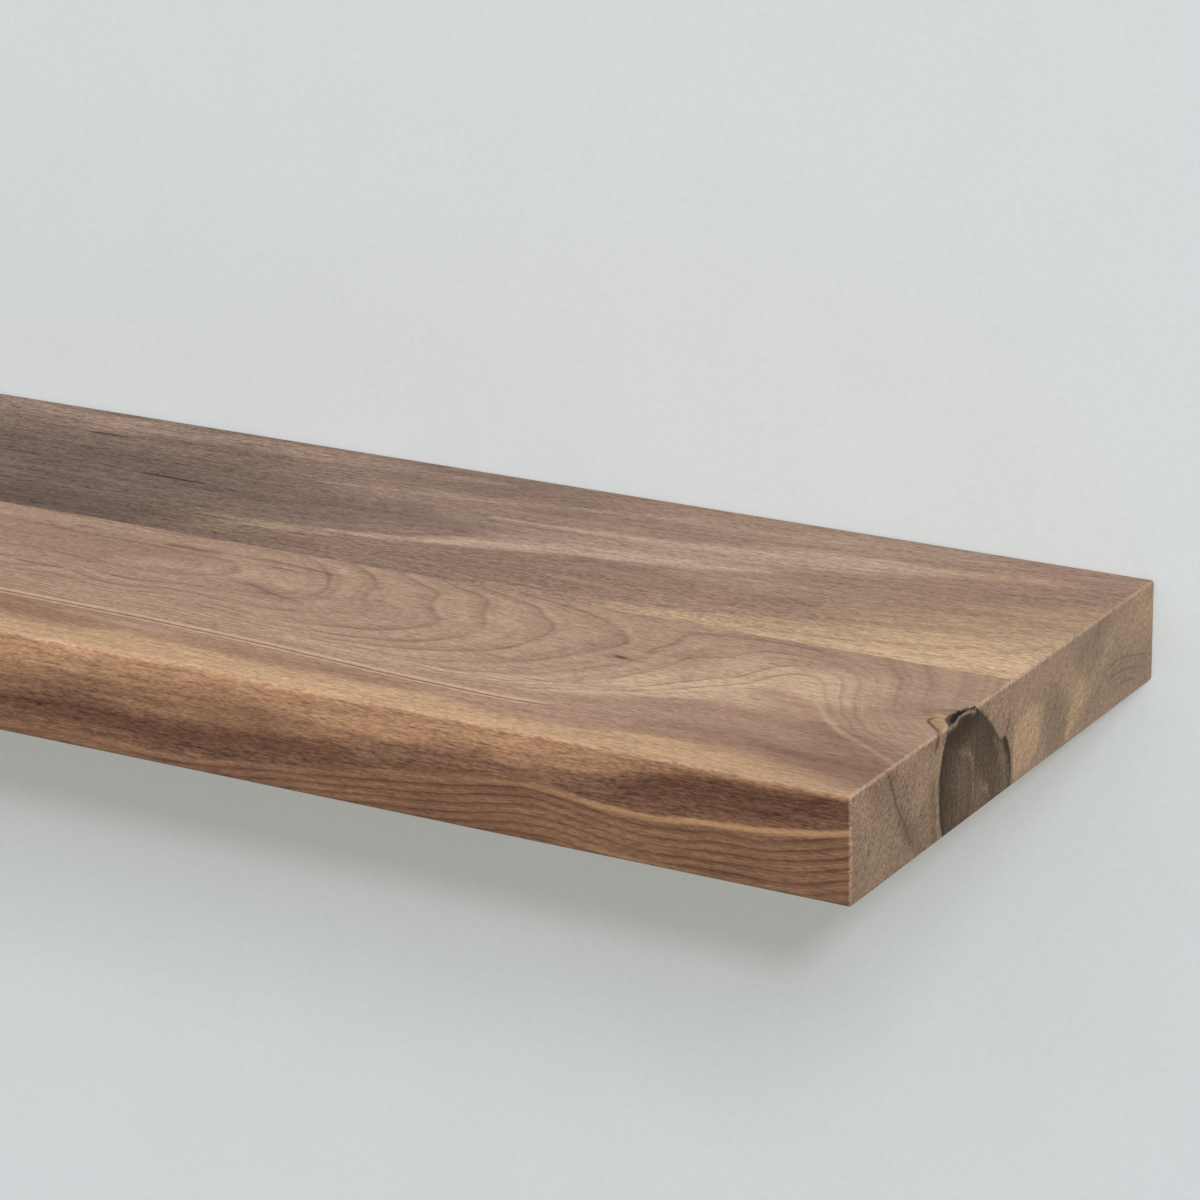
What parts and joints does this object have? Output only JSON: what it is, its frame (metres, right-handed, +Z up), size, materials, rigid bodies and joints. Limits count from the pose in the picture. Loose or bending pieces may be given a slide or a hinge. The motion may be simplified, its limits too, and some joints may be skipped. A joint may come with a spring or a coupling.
{
  "type": "floating wall shelf",
  "caption": "Thick walnut floating wall shelf: a board of edge-glued staves that slides onto a concealed steel plate-and-rod bracket and is locked from below.",
  "frame": {"origin": "on the back face of the steel wall plate, in the plane of the wall, halfway along the board and halfway up its thickness", "axes": "+X to the right along the wall as seen from the room, +Y into the wall, so the room is on the -Y side, and +Z up"},
  "size_m": [0.9, 0.2953, 0.04],
  "materials": {
    "walnut_front": "oiled satin walnut with a pale sapwood band",
    "walnut_rear": "oiled satin walnut",
    "black_steel": "fine black powder coat",
    "bright_steel": "drawn bright bar",
    "zinc": "zinc plated",
    "nylon": "moulded grey nylon",
    "brass": "turned brass",
    "black_oxide": "black oxide steel"
  },
  "bodies": {
    "bracket": {"wall_plate": "black_steel", "support_rod_1": "bright_steel", "support_rod_2": "bright_steel", "support_rod_3": "bright_steel", "support_rod_4": "bright_steel", "wall_screw_1": "zinc", "wall_screw_2": "zinc", "wall_screw_3": "zinc", "wall_screw_4": "zinc", "wall_screw_5": "zinc", "wall_screw_6": "zinc", "wall_plug_1": "nylon", "wall_plug_2": "nylon", "wall_plug_3": "nylon", "wall_plug_4": "nylon", "wall_plug_5": "nylon", "wall_plug_6": "nylon"},
    "board": {"front_stave": "walnut_front", "rear_stave": "walnut_rear", "lock_insert_left": "brass", "lock_insert_right": "brass"},
    "lock_left": {"lock_screw_left": "black_oxide"},
    "lock_right": {"lock_screw_right": "black_oxide"}
  },
  "joints": [
    {"name": "board_slide", "type": "slide", "parent": "bracket", "child": "board", "axis": [0, -1, 0], "range_m": [0, 0.17]},
    {"name": "lock_screw_left_travel", "type": "slide", "parent": "board", "child": "lock_left", "axis": [0, 0, -1], "range_m": [0, 0.0035]},
    {"name": "lock_screw_right_travel", "type": "slide", "parent": "board", "child": "lock_right", "axis": [0, 0, -1], "range_m": [0, 0.0035]}
  ]
}
